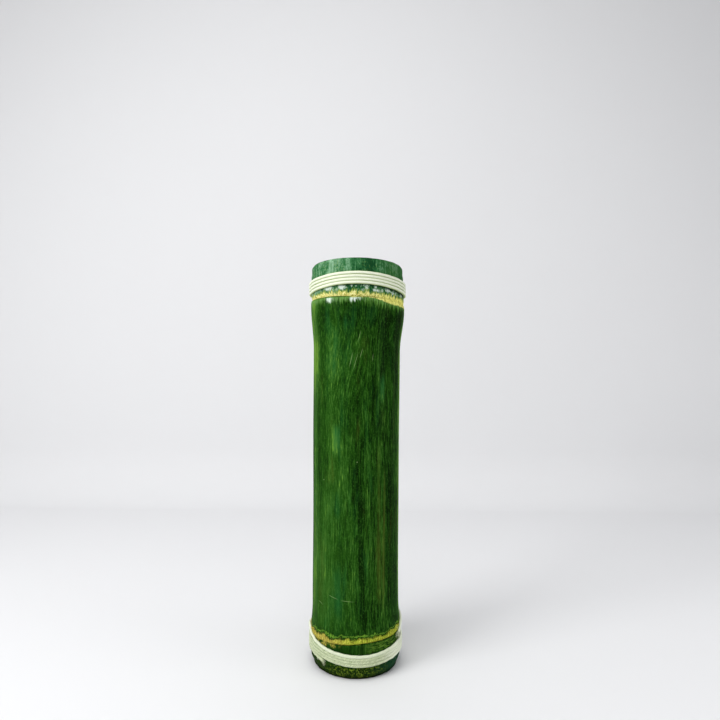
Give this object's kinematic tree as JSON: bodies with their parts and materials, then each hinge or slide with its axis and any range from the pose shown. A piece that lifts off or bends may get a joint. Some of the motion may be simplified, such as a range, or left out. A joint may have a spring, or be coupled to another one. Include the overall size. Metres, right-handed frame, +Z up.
{
  "type": "bamboo vase",
  "caption": "Tall vase cut from a length of green-stained bamboo stem, closed below by the stem's own cross wall, with pale cord wound round it near the rim and the foot.",
  "frame": {"origin": "middle of the foot ring, on the surface that the vase stands on", "axes": "+Z up along the stem, -Y the front, +X to the right seen from the front"},
  "size_m": [0.074, 0.074, 0.3],
  "materials": {
    "stained_bamboo": "green brushed stain under a glossy varnish",
    "pale_cord": "matt twisted fibre",
    "clear_glue": "hardened clear glue"
  },
  "bodies": {
    "root": {"bamboo_stem": "stained_bamboo", "upper_cord_wrap": "pale_cord", "lower_cord_wrap": "pale_cord", "upper_cord_glue": "clear_glue", "lower_cord_glue": "clear_glue"}
  },
  "joints": []
}
